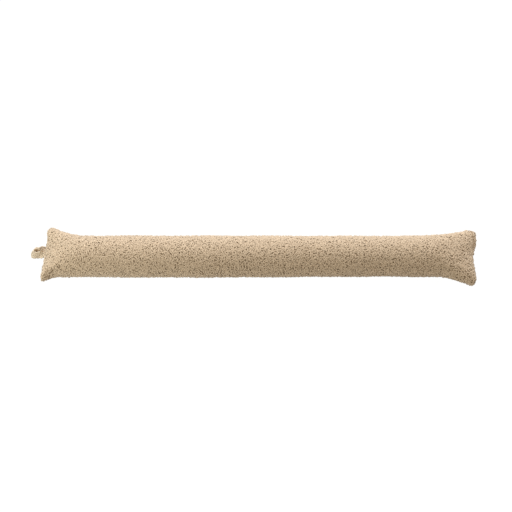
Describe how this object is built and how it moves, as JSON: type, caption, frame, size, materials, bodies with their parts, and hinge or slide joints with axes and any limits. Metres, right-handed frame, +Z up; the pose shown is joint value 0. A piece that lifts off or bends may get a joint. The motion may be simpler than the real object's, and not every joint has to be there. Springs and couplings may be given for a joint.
{
  "type": "draught excluder",
  "caption": "Long filled bolster in beige curly pile cloth that lies along the foot of a door to stop draughts, with flat sewn ends and a small hanging loop.",
  "frame": {"origin": "middle of the flat strip on which the bolster rests", "axes": "+X along the bolster away from the hanging loop, +Y across it towards the back, +Z up"},
  "size_m": [0.9231, 0.1342, 0.079],
  "materials": {
    "pile_cloth": "matt curly pile, beige",
    "loop_cloth": "matt curly pile, beige"
  },
  "bodies": {
    "root": {"bolster": "pile_cloth", "hanging_loop": "loop_cloth"}
  },
  "joints": []
}
